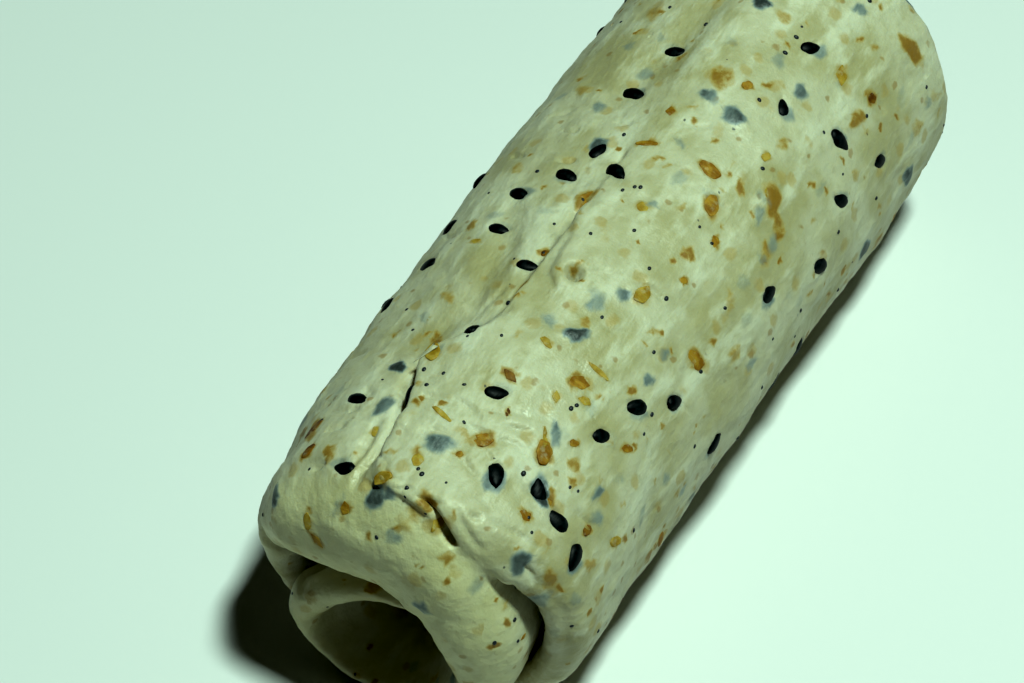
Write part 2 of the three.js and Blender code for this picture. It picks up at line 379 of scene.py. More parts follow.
folds = [
    # The slit at the corner of the outer wrap, and the pulled skin that runs out from it.
    crease(2, 0.5, (-48.8, 81), (-50, 77), (-51.2, 73), (-52.4, 68), (-53.2, 63)),
    crease(0.35, 0.6, (-47.6, 72), (-49.2, 66), (-50.4, 60), (-50.8, 54)),
    swelling(0.5, -48, 71, 1.8, 2.6),
    # Two pleats beside the seam, with a sharp ridge between them.
    crease(0.8, 0.5, (-38.8, 108), (-42.5, 107), (-46, 106.5), (-49, 107.5), (-52, 108)),
    crease(0.6, 0.5, (-41.5, 114), (-44.3, 112), (-46.5, 111), (-49, 112)),
    crease(-0.7, 0.9, (-38.6, 104), (-42.5, 103.5), (-46, 102), (-50, 101)),
    # The free edge of the outer layer, where it lies on the layer below.
    crease(0.6, 0.4, (-44, 103), (-41, 105.5), (-36, 110.5), (-33, 114), (-30.8, 114.5)),
    crease(0.9, 0.45, (-40.5, 106.5), (-38, 109), (-35.5, 111.5), (-33, 114.5)),
    crease(0.8, 0.8, (-36, 111.5), (-34, 113), (-32.5, 114), (-31, 114.5)),
    crease(0.45, 0.35, (-31, 114.5), (-29, 111.5), (-27.5, 106), (-26, 101), (-24, 97), (-21.5, 93)),
    # Thin folds in the skin.
    crease(0.4, 0.4, (-46.4, 60), (-45.8, 54), (-45.2, 48), (-44.5, 41)),
    crease(0.35, 0.35, (-23, 106), (-21, 104), (-19.5, 102), (-18, 101)),
    crease(0.8, 1.8, (-4, 122), (-12, 112), (-22, 109), (-30, 120)),
    crease(0.8, 2.4, (44, 96), (30, 103), (20, 109), (10, 113)),
    layer_edge(0.5, 5, (-1, 104), (-5.4, 96), (-9.5, 91.5), (-12.4, 91), (-15.2, 90), (-16.8, 86),
               (-16.3, 82)),
    layer_edge(0.35, 5, (30, 196), (12, 190), (-8, 199), (-24, 192)),
    crease(0.4, 0.6, (38, 222), (26, 215), (15, 219)),
    crease(0.4, 0.6, (-30, 338), (-18, 344), (-5, 340)),
    # The dimple left by a bubble. Its pit is darkened by painted shade, a blot listed among the deep chips.
    swelling(-3.2, -14.2, 83.5, 0.8, 0.7),
    swelling(0.45, -14.2, 83.5, 1.8, 1.7),
    # The roll is fuller along its left side than at the left of the mouth.
    swelling(1.2, -9, 157, 20, 9),
    swelling(-1.4, -42.5, 156, 5.5, 7),
    # The round bulge at the left of the lip, its lower border, and the dented lip.
    swelling(0.9, -55, 149, 5.5, 6),
    crease(1, 0.6, (-50.5, 176), (-52, 184), (-52.8, 192), (-54.4, 200), (-57, 203)),
    swelling(1, -57, 212, 4, 8),
    swelling(-0.5, -58, 96, 5, 4),
    swelling(0.5, -60, 52, 5, 5),
    # Fine wrinkles, most of them near the mouth.
    *[wrinkle(-51, -34, 25, 140) for _ in range(40)],
    *[wrinkle(-34, 46, 30, 330) for _ in range(30)],
]


def move_out(distance):
    """Moves each point out of the skin, and keeps it off the ground."""
    moved = points + outward * (distance * on_show)[:, None]
    moved[:, 2] = np.maximum(moved[:, 2], 0)
    dough.data.vertices.foreach_set("co", (moved * MM).ravel())
    dough.data.update()
    return moved


points = move_out(sum(folds))
outward = vertex_rows(dough, "normal")


# ----------------------------------------------------------------------------------------------------------
# What is kneaded into the dough, and where: sesame seeds and chips of onion that sit in the skin, each seed
# in a pocket with a raised rim, and others that lie under it and show through. Places are millimetres along
# the flat skin, degrees round and degrees turned, and sizes are lengths and widths in millimetres.

SESAME_LENGTH, SESAME_WIDTH, SESAME_THICKNESS = 3, 1.8, 1.1

# Chips in the skin: place, length, width and tone.
CHIPS = [
    (-57, 131, 0, 2.2, 1.2, "amber"), (-60, 131, 20, 2.4, 1.2, "orange"), (-55, 110, 0, 1.7, 1.3, "orange"),
    (-49, 97, 120, 2.4, 1.4, "amber"), (-45, 90, 30, 1.9, 1.4, "amber"), (-52, 73, 10, 2.6, 1.5, "amber"),
    (-42, 80, 120, 1.2, 0.9, "orange"), (-38, 92, 70, 3.2, 0.7, "amber"), (-34, 75, 30, 1.1, 0.6, "brown"),
    (-29, 66, 30, 1.6, 1.1, "amber"), (-34, 61, 30, 3, 0.7, "amber"), (-32, 53, 140, 1.3, 0.9, "orange"),
    (-27, 37, 140, 1.8, 1, "orange"), (-39, 49, 40, 2.1, 0.9, "orange"), (-43, 52, 90, 1.7, 1.4, "orange"),
    (-38, 32, 170, 1.6, 1.2, "brown"), (-35, 19, 150, 2.2, 1.3, "amber"), (-53, 5, 0, 1.2, 0.6, "orange"),
    (-1, 79, 160, 1.8, 1.6, "amber"), (1, 54, 30, 1.8, 1.1, "orange"), (-6, 55, 140, 1.2, 0.9, "orange"),
    (-18, 96, 170, 2.6, 0.9, "orange"), (-12, 98, 100, 1.6, 1, "brown"), (-24, 78, 70, 1.9, 1, "amber"),
    (-23, 60, 90, 3.2, 0.7, "amber"), (-30, 81, 70, 2.2, 1.2, "brown"), (-27, 58, 110, 1.9, 1.2, "amber"),
    (22, 75, 170, 1.5, 1.3, "orange"), (8, 91, 110, 2.8, 1, "orange"), (14, 91, 20, 1.7, 1.3, "orange"),
    (34, 38, 170, 1.8, 1.5, "brown"), (15, 57, 170, 1.4, 1.1, "amber"), (-46, 133, 150, 2.2, 1.4, "brown"),
    (-49, 78, 10, 2, 0.9, "brown"), (-12, 124, 80, 1.8, 1, "amber"), (-43, 113, 20, 1.4, 1, "amber"),
]
# Chips under the skin: place, length, width, and how strongly they show. One entry is painted shade in the
# pit of the dimple.
DEEP_CHIPS_AND_PIT_SHADE = [
    (-50, 81, 10, 3, 1.9, 0.6), (-55, 62, 0, 1.6, 1.2, 0.6), (-63, 206, 0, 2.4, 1.2, 0.9),
    (-48, 214, 30, 3, 2.2, 0.7), (-34, 49, 170, 1.9, 1.6, 0.6), (-36, 46, 40, 1.5, 1.3, 0.7),
    (-40, 23, 140, 2.8, 1.5, 0.5), (-46, 31, 80, 2.7, 1.8, 0.6), (-60, 337, 0, 3, 1.8, 0.6),
    (-3, 59, 130, 1.9, 1.7, 0.9), (-3, 38, 40, 2.6, 1.4, 0.5), (-19, 72, 30, 1.7, 1.3, 0.6),
    (9, 58, 30, 2.6, 1.1, 0.8), (-6, 24, 170, 2.4, 1.9, 0.5), (21, 83, 30, 3.2, 2.8, 0.7),
    (30, 38, 170, 3.4, 1.8, 0.7), (11, 47, 30, 4.6, 2.2, 0.9), (9, 40, 40, 3.4, 1.8, 0.8),
    (5, 38, 40, 3.3, 1.6, 0.6), (18, 55, 170, 2.1, 1.6, 0.6), (44, 37, 100, 4.6, 2.2, 0.8),
    (39, 14, 160, 2.9, 2.1, 0.5), (25, 26, 140, 2, 1.7, 0.5), (34, 79, 70, 2.9, 1.7, 0.5),
    (16, 129, 80, 2.8, 1.7, 0.5), (-43, 138, 80, 2.4, 1.6, 0.6), (-47, 123, 30, 2.4, 1.6, 0.7),
    (-27, 115, 30, 2.6, 1.5, 0.8), (30, 122, 30, 3, 2, 0.5), (39, 100, 60, 3, 2, 0.5),
    (43, 84, 30, 2.6, 1.8, 0.5), (-21, 120, 60, 2.6, 1.4, 0.5), (-9, 131, 20, 2.2, 1.4, 0.6),
    # The entry at -14.6 along and 82.4 round is painted shade: a blot that darkens the dimple's pit.
    (1, 130, 40, 2.2, 1.5, 0.5), (-14.6, 82.4, 30, 1.5, 1, 0.6), (-54, 84, 60, 2.4, 1.6, 0.4),
    (-62, 70, 20, 2.6, 2, 0.3), (-7, 84, 30, 3.5, 1.6, 0.3), (14, 74, 30, 2.6, 1.5, 0.3),
]
# Sesame seeds in the skin of the rounded rim at the mouth, which the frame has none of.
RIM_SEEDS = [(-49, 115, 90)]
# Sesame seeds under the skin: place, length, width, and how strongly they show.
DEEP_SEEDS = [
    (-38, 115, 170, 3.1, 1.8, 1), (-52, 145, 0, 2.8, 1.3, 1), (-52, 98, 0, 3.2, 2, 0.95),
    (-51, 93, 30, 1.6, 1.4, 1), (-42, 87, 120, 3.4, 2.4, 0.85), (-42, 65, 30, 2.7, 1.5, 0.9),
    (-64, 52, 90, 2.2, 1.8, 0.8), (-48, 43, 50, 2.9, 2, 1.3), (-49, 25, 50, 3.4, 2.2, 0.7),
    (-33, 59, 30, 3, 1.3, 0.9), (-36, 32, 140, 2.3, 1.7, 0.5), (-34, 37, 170, 2.2, 1.2, 0.8),
    (-44, 18, 110, 2, 1.5, 0.45), (-40, 51, 40, 2.2, 1.6, 1), (-6, 107, 80, 2.2, 1.7, 0.4),
    (5, 75, 170, 2.6, 1.7, 0.45), (0, 77, 130, 1.3, 1.2, 0.7), (-16, 73, 170, 3, 1.8, 0.7),
    (-13, 68, 130, 2, 1.8, 0.65), (-21, 72, 130, 3.1, 1.5, 1.2), (-15, 46, 40, 1.6, 1.5, 0.55),
    (-19, 45, 130, 1.7, 1.4, 0.75), (-32, 121, 80, 2.4, 1.5, 1.1), (20, 111, 170, 2.4, 2, 0.5),
    (17, 73, 70, 2.8, 2.4, 1), (18, 83, 70, 2.7, 1.8, 0.8), (26, 60, 30, 2.2, 1.8, 0.8),
    (8, 48, 30, 2.6, 1.3, 0.6), (24, 355, 160, 3.2, 2.3, 1.2), (36, 0, 100, 3, 2.2, 1.2),
    (0, 39, 170, 2, 1.7, 0.4), (34, 87, 120, 2.2, 1.7, 1.1), (42, 60, 140, 2, 1.6, 0.9),
    (-22, 84, 60, 5, 3, 0.16), (-60, 60, 0, 5, 3, 0.12), (43, 70, 40, 2.2, 1.4, 0.5),
    (13, 118, 40, 2.4, 1.6, 0.6), (-24, 125, 40, 2, 1.4, 0.5), (-55, 300, 0, 2.4, 1.6, 0.7),
]
# Poppy seeds: millimetres along and degrees round.
POPPY = [
    (-46, 88), (-46.4, 86), (-46, 78), (-39, 60), (-36, 43), (-36.5, 46), (-43, 50.5), (-44, 47), (-51, 95),
    (-49, 88), (0, 88), (1, 85), (1.2, 83.5), (-8, 66), (1, 61), (-17, 69), (-14, 106), (-33, 100),
    (-40, 70), (-29, 60),
]

TUBE_RADIUS = 20.5
skin_tree = KDTree(int(on_show.sum()))


def flat_key(along_it, round_it):
    """A place on the flat skin as a point of a plain tube, so that 0 and 360 degrees meet."""
    angle = math.radians(round_it)
    return along_it, TUBE_RADIUS * math.cos(angle), TUBE_RADIUS * math.sin(angle)


for index in np.flatnonzero(on_show):
    skin_tree.insert(flat_key(along[index], around[index]), int(index))
skin_tree.balance()


def seat(along_it, round_it, turned=0):
    """A seat on the skin: its middle, and a row each for the directions along, across and out of it."""
    found = [index for _, index, _ in skin_tree.find_n(flat_key(along_it, round_it), 12)]
    out = outward[found].mean(0)
    out /= np.linalg.norm(out)
    lengthwise = np.array([0, 1, 0]) - out[1] * out
    lengthwise /= np.linalg.norm(lengthwise)
    crosswise = np.cross(out, lengthwise)
    angle = math.radians(turned)
    turned_length = math.cos(angle) * lengthwise + math.sin(angle) * crosswise
    return points[found].mean(0), np.array([turned_length, np.cross(out, turned_length), out])


def seat_of(node):
    """The seat of a seed or chip that the frame has."""
    corners = np.array([corner.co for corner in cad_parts[node].data.vertices]) / MM
    middle = corners.mean(0)
    long_way = np.linalg.svd(corners - middle)[2][0]
    along_it, round_it, _ = rolled_flat(middle[None])
    _, (lengthwise, crosswise, _) = seat(along_it[0], round_it[0])
    turned = math.degrees(math.atan2(long_way @ crosswise, long_way @ lengthwise))
    return seat(along_it[0], round_it[0], turned)


def strewn(count, apart, taken, bands):
    """Places chosen by chance in bands of the skin that keep their distance from those taken."""
    chosen = []
    while len(chosen) < count:
        along_low, along_high, around_low, around_high = chance.choice(bands)
        place = (chance.uniform(along_low, along_high), chance.uniform(around_low, around_high))
        turned = chance.uniform(0, 180)
        middle = seat(*place)[0]
        if all(np.linalg.norm(middle - other) > apart for other in taken):
            taken.append(middle)
            chosen.append((*place, turned))
    return chosen


# The sides that are strewn by chance: the left, the lower right, the far end, and the underside, which has
# nothing standing out of it.
PLAIN_BANDS = [(-43, 46, 150, 228)] * 6 + [(-43, 46, 310, 350)] * 3 + [(50, 64, -30, 210)] * 2
ALL_BANDS = PLAIN_BANDS + [(-43, 46, 228, 310)] * 3
SESAME_NODES = sorted(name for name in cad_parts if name.startswith("black_sesame"))
CHIP_NODES = sorted(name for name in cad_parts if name.startswith("onion_flake"))

# How many are strewn by chance.
MORE_SEEDS, MORE_DEEP_SEEDS, SEED_VEILS = 22, 42, 90
MORE_CHIPS, MORE_DEEP_CHIPS, CHIP_SPECKS = 54, 75, 380
MORE_POPPY = 150

sesame_seats = [seat_of(node) for node in SESAME_NODES]
sesame_seats += [seat(*place) for place in RIM_SEEDS]
taken = [middle for middle, _ in sesame_seats]
sesame_seats += [seat(*place) for place in strewn(MORE_SEEDS, 3.5, taken, PLAIN_BANDS)]

NODE_TONES = ["amber"] + ["orange"] * 5 + ["brown"] + ["orange"] * 3 + ["amber"] * 3 + ["orange"]
chips = [(seat_of(node), 3, 1.9, tone) for node, tone in zip(CHIP_NODES, NODE_TONES)]
chips += [(seat(*place), length, width, tone) for *place, length, width, tone in CHIPS]
for place in strewn(MORE_CHIPS, 2.5, taken, PLAIN_BANDS):
    length = chance.uniform(1.2, 2.8)
    width = length * chance.uniform(0.4, 0.8)
    chips.append((seat(*place), length, width, chance.choice(["amber", "orange", "brown"])))
deep_seeds = [(seat(*place), length, width, show) for *place, length, width, show in DEEP_SEEDS]
for place in strewn(MORE_DEEP_SEEDS, 3, taken, ALL_BANDS):
    deep_seeds.append((seat(*place), 2.8, 1.8, chance.uniform(0.4, 1.2)))
deep_chips_and_pit_shade = [(seat(*place), length, width, show) for *place, length, width, show in DEEP_CHIPS_AND_PIT_SHADE]
for place in strewn(MORE_DEEP_CHIPS, 2, taken, ALL_BANDS):
    length, width = chance.uniform(1.4, 3.2), chance.uniform(1, 1.8)
    deep_chips_and_pit_shade.append((seat(*place), length, width, chance.uniform(0.4, 0.9)))
EVERYWHERE = [(-60, 60, 0, 360)]
specks = [(seat(*place), chance.uniform(0.5, 1.7), chance.uniform(0.4, 0.9), chance.uniform(0.4, 1.1))
          for place in strewn(CHIP_SPECKS, 1.2, [], EVERYWHERE)]
veils = [(seat(*place), chance.uniform(1.6, 3), chance.uniform(1, 1.8), chance.uniform(0.2, 0.5))
         for place in strewn(SEED_VEILS, 2.5, taken, EVERYWHERE)]
poppy_seats = [seat(*place) for place in POPPY]
poppy_seats += [seat(*place) for place in strewn(MORE_POPPY, 1.5, taken, EVERYWHERE)]
sliver_seat = seat(-31, 110, 150)


def reach_from(place, length, width):
    """The points near a seat, and how far each is from it as a share of an uneven oval of this size."""
    middle, axes = place
    near = np.flatnonzero(np.abs(points[:, 1] - middle[1]) < 5)
    u, v, w = ((points[near] - middle) @ axes.T).T
    u, v = u * 2 / length, v * 2 / width
    angle = np.arctan2(v, u)
    uneven = 1 + 0.12 * np.sin(3 * angle + middle[0]) + 0.08 * np.sin(5 * angle + middle[1])
    return near, np.where(np.abs(w) < 2, np.hypot(u, v) * uneven, 99)


POCKET_DEPTH = 0.2
POCKET_RIM = 0.03
OVER_DEEP_SEED = 0.25
OVER_DEEP_CHIP = 0.12
dents = np.zeros(len(points))
for place in sesame_seats:
    near, reach = reach_from(place, SESAME_LENGTH, SESAME_WIDTH)
    rim = POCKET_RIM * np.exp(-(((reach - 1.3) / 0.25) ** 2))
    dents[near] += rim - POCKET_DEPTH * (1 - rise(reach, 0.6, 1.1))
for place, length, width, show in deep_seeds:
    near, reach = reach_from(place, length, width)
    dents[near] += OVER_DEEP_SEED * show * np.exp(-((reach / 1.1) ** 2))
for place, length, width, show in deep_chips_and_pit_shade:
    near, reach = reach_from(place, length, width)
    dents[near] += OVER_DEEP_CHIP * np.exp(-((reach / 1.1) ** 2))
points = move_out(dents)

# The triangles are thinned out where the skin is smooth.
MOST_TRIANGLES = 185000
thin = dough.modifiers.new("thin", "DECIMATE")
thin.ratio = MOST_TRIANGLES / (2 * len(dough.data.polygons))
bpy.ops.object.modifier_apply(modifier=thin.name)
dough.data.shade_smooth()
points = vertex_rows(dough, "co") / MM


def paint(name, marks, soft):
    """Writes how strongly the marks show at each point of the skin as an attribute for its finish."""
    strength = np.zeros(len(points))
    for place, length, width, show in marks:
        near, reach = reach_from(place, length, width)
        strength[near] = np.maximum(strength[near], show * (1 - rise(reach, 1 - soft, 1 + soft)))
    layer = dough.data.attributes.new(name, "FLOAT", "POINT")
    layer.data.foreach_set("value", strength)


halos = []
for middle, axes in sesame_seats:
    shifted = middle + axes[0] * chance.uniform(-1, 1) + axes[1] * chance.uniform(-0.6, 0.6)
    halos.append(((shifted, axes), SESAME_LENGTH * 0.9, SESAME_WIDTH * 1.1, chance.uniform(0, 0.9)))
paint("dark_below", deep_seeds + veils + halos, 0.35)
CHIP_SHOW = {"amber": 0.6, "orange": 0.85, "brown": 1}
stains = [(place, length * 1.1, width * 1.2, 0.8 * CHIP_SHOW[tone]) for place, length, width, tone in chips]
# The amber attribute also carries the painted shade in the dimple's pit.
paint("amber_below_and_pit_shade", deep_chips_and_pit_shade + stains + specks, 0.3)


def add_node(tree, kind, settings, inputs):
    """A shader node with its settings made, and its inputs set or joined."""
    made = tree.nodes.new("ShaderNode" + kind)
    for name, value in settings.items():
        setattr(made, name, value)
    for name, value in inputs.items():
        if isinstance(value, bpy.types.NodeSocket):
            tree.links.new(value, made.inputs[name])
        else:
            made.inputs[name].default_value = value
    return made


def new_finish(name, roughness):
    """A new material: its node tree, its shader, and the place that its patterns are drawn by."""
    finish = bpy.data.materials.new(name)
    finish.use_nodes = True
    tree = finish.node_tree
    shader = tree.nodes["Principled BSDF"]
    shader.inputs["Roughness"].default_value = roughness
    place = add_node(tree, "TexCoord", {}, {}).outputs["Object"]
    return finish, tree, shader, place


def noise(tree, place, size, detail=3, roughness=0.55):
    """Cloudy noise with spots of about size millimetres."""
    inputs = {"Vector": place, "Scale": 0.5 / (size * MM), "Detail": detail, "Roughness": roughness}
    return add_node(tree, "TexNoise", {}, inputs).outputs["Fac"]


def stretched(tree, place, scale):
    return add_node(tree, "Mapping", {}, {"Vector": place, "Scale": scale}).outputs["Vector"]


def slope(tree, value, start, end, low=0, high=1):
    """Runs from low where value is start to high where it is end."""
    inputs = {"Value": value, "From Min": start, "From Max": end, "To Min": low, "To Max": high}
    return add_node(tree, "MapRange", {"interpolation_type": "SMOOTHSTEP"}, inputs).outputs["Result"]


def times(tree, first, second):
    return add_node(tree, "Math", {"operation": "MULTIPLY"}, {0: first, 1: second}).outputs["Value"]


def tinted(tree, share, under, over):
    """One colour over another, by a share."""
    return add_node(tree, "Mix", {"data_type": "RGBA"}, {0: share, 6: under, 7: over}).outputs[2]


def bumps(tree, shader, layers):
    """Fine relief from (height, millimetres) layers."""
    normal = None
    for height, depth in layers:
        inputs = {"Height": height, "Distance": depth * MM, "Strength": 1}
        if normal:
            inputs["Normal"] = normal
        normal = add_node(tree, "Bump", {}, inputs).outputs["Normal"]
    tree.links.new(normal, shader.inputs["Normal"])


PALE_DOUGH = (0.51, 0.48, 0.35, 1)
YELLOW_DOUGH = (0.40, 0.36, 0.21, 1)
FLOURED_DOUGH = (0.58, 0.56, 0.44, 1)
# Painted light: the paler colour given to the lip at the mouth.
PAINTED_LIGHT_LIP = (0.60, 0.56, 0.34, 1)
SEED_VEILED = (0.20, 0.24, 0.235, 1)
SEED_BELOW = (0.03, 0.04, 0.042, 1)
ONION_PALE = (0.39, 0.28, 0.08, 1)
ONION_DARK = (0.27, 0.15, 0.018, 1)

dough_finish, tree, shader, place = new_finish("dough", 0.5)
mottle = noise(tree, place, 5)
grain = noise(tree, place, 0.9, 4, 0.6)
pulled = noise(tree, stretched(tree, place, (1, 0.3, 1)), 1.6, 4, 0.6)
colour = tinted(tree, slope(tree, mottle, 0.36, 0.6), YELLOW_DOUGH, PALE_DOUGH)
colour = tinted(tree, slope(tree, pulled, 0.48, 0.68, 0, 0.8), colour, FLOURED_DOUGH)
colour = tinted(tree, slope(tree, grain, 0.5, 0.72, 0, 0.4), colour, YELLOW_DOUGH)
# The lip is painted paler: painted light that brightens the lip as if more light fell on it.
along_roll = add_node(tree, "SeparateXYZ", {}, {"Vector": place}).outputs["Y"]
colour = tinted(tree, slope(tree, along_roll, -46 * MM, -51 * MM, 0, 0.7), colour, PAINTED_LIGHT_LIP)

# Chips too deep or too small to place: faint amber blots, and specks of seed.
shifts = add_node(tree, "TexNoise", {}, {"Vector": place, "Scale": 700, "Detail": 2}).outputs["Color"]
shifted_by = {0: shifts, 1: [1.2 * MM] * 3, 2: place}
shifted = add_node(tree, "VectorMath", {"operation": "MULTIPLY_ADD"}, shifted_by)


def blots(size, radius, share):
    """Blots of a radius in a share of the cells of a random pattern, in millimetres."""
    cells = add_node(tree, "TexVoronoi", {}, {"Vector": shifted.outputs["Vector"], "Scale": 1 / (size * MM)})
    near = slope(tree, cells.outputs["Distance"], radius / size, radius / size * 0.5)
    pick = add_node(tree, "SeparateColor", {}, {"Color": cells.outputs["Color"]}).outputs["Red"]
    return times(tree, near, slope(tree, pick, 1 - share, 1.01 - share))


colour = tinted(tree, times(tree, blots(3.1, 1.1, 0.4), 0.5), colour, ONION_PALE)
colour = tinted(tree, times(tree, blots(2.3, 0.55, 0.3), 0.5), colour, ONION_DARK)
colour = tinted(tree, times(tree, blots(2.7, 0.22, 0.16), 0.75), colour, SEED_BELOW)

dark_below = add_node(tree, "Attribute", {"attribute_name": "dark_below"}, {}).outputs["Fac"]
amber_below_and_pit_shade = add_node(tree, "Attribute", {"attribute_name": "amber_below_and_pit_shade"}, {}).outputs["Fac"]
uneven = times(tree, amber_below_and_pit_shade, slope(tree, grain, 0.3, 0.6, 0.7, 1.25))
onion = tinted(tree, slope(tree, uneven, 0.45, 0.95), ONION_PALE, ONION_DARK)
colour = tinted(tree, slope(tree, uneven, 0.08, 0.75, 0, 0.95), colour, onion)
veiled = times(tree, dark_below, slope(tree, pulled, 0.3, 0.65, 1.15, 0.65))
seed = tinted(tree, slope(tree, veiled, 0.45, 1.1), SEED_VEILED, SEED_BELOW)
colour = tinted(tree, slope(tree, veiled, 0.05, 0.7, 0, 0.97), colour, seed)
tree.links.new(colour, shader.inputs["Base Color"])
tree.links.new(slope(tree, pulled, 0.3, 0.7, 0.42, 0.62), shader.inputs["Roughness"])
bumps(tree, shader, [(grain, 0.16), (pulled, 0.35), (noise(tree, place, 0.3, 2), 0.05)])
shader.inputs["Subsurface Weight"].default_value = 0.25
shader.inputs["Subsurface Radius"].default_value = (1, 0.75, 0.45)
shader.inputs["Subsurface Scale"].default_value = 1.6 * MM

dough.data.materials.clear()
dough.data.materials.append(dough_finish)
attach(dough, "root")
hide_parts("dough_roll")


# ----------------------------------------------------------------------------------------------------------
# Black sesame: a flat, black drop with a pointed end. One seed is modelled and copied to each place, sunk
# into the dough for more than half its thickness.

SESAME_SUNK = 0.12, 0.4
SESAME_BLACK = (0.002, 0.003, 0.004, 1)
SESAME_GREY = (0.01, 0.012, 0.014, 1)

bpy.ops.object.select_all(action="DESELECT")
bpy.ops.mesh.primitive_uv_sphere_add(segments=20, ring_count=14, radius=1, rotation=(0, math.pi / 2, 0))
bpy.ops.object.transform_apply(rotation=True)
sesame = bpy.context.object
sesame.name = "sesame_pattern"
bpy.ops.object.mode_set(mode="EDIT")
bpy.ops.mesh.select_all(action="DESELECT")
bpy.ops.object.mode_set(mode="OBJECT")
tip = max(sesame.data.vertices, key=lambda corner: corner.co.x)
tip.select = True
bpy.ops.object.mode_set(mode="EDIT")
bpy.ops.transform.translate(value=(0.14, 0, 0))
bpy.ops.mesh.select_all(action="SELECT")
bpy.ops.transform.vertex_random(offset=0.06, seed=4)
bpy.ops.object.mode_set(mode="OBJECT")
taper = sesame.modifiers.new("taper", "SIMPLE_DEFORM")
taper.deform_method = "TAPER"
taper.deform_axis = "X"
taper.factor = -0.55
bpy.ops.object.modifier_apply(modifier=taper.name)
sesame.data.shade_smooth()

sesame_finish, tree, shader, place = new_finish("black_sesame", 0.5)
shell = noise(tree, place, 0.35, 3)
ridges = noise(tree, stretched(tree, place, (2.5, 0.6, 2.5)), 0.5)
colour = tinted(tree, slope(tree, shell, 0.4, 0.75), SESAME_BLACK, SESAME_GREY)
shader.inputs["Specular IOR Level"].default_value = 0.2
tree.links.new(colour, shader.inputs["Base Color"])
bumps(tree, shader, [(ridges, 0.05), (shell, 0.02)])


def copy_to(pattern, name, place, size, sunk, finish):
    """A copy of a pattern at a seat, sized in millimetres, with its middle sunk below the skin."""
    middle, axes = place
    piece = bpy.data.objects.new(name, pattern.data.copy())
    bpy.context.scene.collection.objects.link(piece)
    turn = Matrix(axes.T.tolist()).to_4x4()
    middle = middle - axes[2] * sunk
    grow = Matrix.Diagonal((*(np.array(size) / 2 * MM), 1))
    piece.data.transform(Matrix.Translation(middle * MM) @ turn @ grow)
    piece.data.materials.clear()
    piece.data.materials.append(finish)
    return piece


for number, place in enumerate(sesame_seats):
    size = chance.uniform(0.88, 1.1) * np.array([SESAME_LENGTH, SESAME_WIDTH, SESAME_THICKNESS])
    sunk = chance.uniform(*SESAME_SUNK)
    seed = copy_to(sesame, f"sesame_seed_{number + 1:02d}", place, size, sunk, sesame_finish)
    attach(seed, "root")
    if number < len(SESAME_NODES):
        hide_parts(SESAME_NODES[number])
bpy.data.objects.remove(sesame)


# ----------------------------------------------------------------------------------------------------------
# A sliver of the skin, torn loose at the corner of the outer layer. It is a flattened, bent cone of dough
# that sticks out over the seam.

SLIVER_SIZE = (3.2, 1, 0.3)
SLIVER_RAISED = 0.1

bpy.ops.object.select_all(action="DESELECT")
bpy.ops.mesh.primitive_cone_add(vertices=12, radius1=1, radius2=0.1, depth=2, rotation=(0, math.pi / 2, 0))
bpy.ops.object.transform_apply(rotation=True)
sliver = bpy.context.object
bpy.ops.object.mode_set(mode="EDIT")
bpy.ops.mesh.select_all(action="SELECT")
bpy.ops.mesh.subdivide(number_cuts=4)
bpy.ops.object.mode_set(mode="OBJECT")
curl = sliver.modifiers.new("curl", "SIMPLE_DEFORM")
curl.deform_method = "BEND"
curl.deform_axis = "Y"
curl.angle = math.radians(50)
bpy.ops.object.modifier_apply(modifier=curl.name)
sliver.data.shade_smooth()
torn_skin = copy_to(sliver, "torn_skin", sliver_seat, SLIVER_SIZE, -SLIVER_RAISED, dough_finish)
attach(torn_skin, "root")
bpy.data.objects.remove(sliver)


# ----------------------------------------------------------------------------------------------------------
# Dried onion: thin, crooked chips, amber to brown, that have gone soft in the wet dough. Four chips are
# modelled and copied, and each lies nearly flush with the skin.

CHIP_THICKNESS = 0.5
CHIP_SUNK = 0.2


def chip_pattern(corners, seed):
    """A flat plate of a few corners, roughened, rounded off and a little curled."""
    bpy.ops.object.select_all(action="DESELECT")
    bpy.ops.mesh.primitive_cylinder_add(vertices=corners, radius=1, depth=2)
    chip = bpy.context.object
    bpy.ops.object.mode_set(mode="EDIT")
    bpy.ops.mesh.select_all(action="SELECT")
    bpy.ops.transform.vertex_random(offset=0.28, seed=seed)
    bpy.ops.mesh.bevel(offset=0.16, segments=1)
    bpy.ops.mesh.subdivide(number_cuts=1, fractal=0.5, seed=seed)
    bpy.ops.object.mode_set(mode="OBJECT")
    round_off = chip.modifiers.new("round_off", "SUBSURF")
    round_off.levels = round_off.render_levels = 1
    bpy.ops.object.modifier_apply(modifier=round_off.name)
    chip.data.shade_smooth()
    return chip


chip_patterns = [chip_pattern(corners, seed) for corners, seed in ((5, 3), (6, 8), (7, 1), (4, 12))]


def onion_finish(name, edge, middle):
    finish, tree, shader, place = new_finish(name, 0.6)
    shader.inputs["Specular IOR Level"].default_value = 0.3
    cloudy = noise(tree, place, 0.7, 4)
    fibres = noise(tree, stretched(tree, place, (1, 3, 1)), 0.6)
    film = noise(tree, place, 0.5, 3)
    colour = tinted(tree, slope(tree, cloudy, 0.38, 0.66), edge, middle)
    colour = tinted(tree, slope(tree, film, 0.55, 0.72, 0, 0.35), colour, PALE_DOUGH)
    tree.links.new(colour, shader.inputs["Base Color"])
    bumps(tree, shader, [(fibres, 0.12), (cloudy, 0.06)])
    shader.inputs["Subsurface Weight"].default_value = 0.3
    shader.inputs["Subsurface Radius"].default_value = (1, 0.5, 0.15)
    shader.inputs["Subsurface Scale"].default_value = 0.8 * MM
    return finish


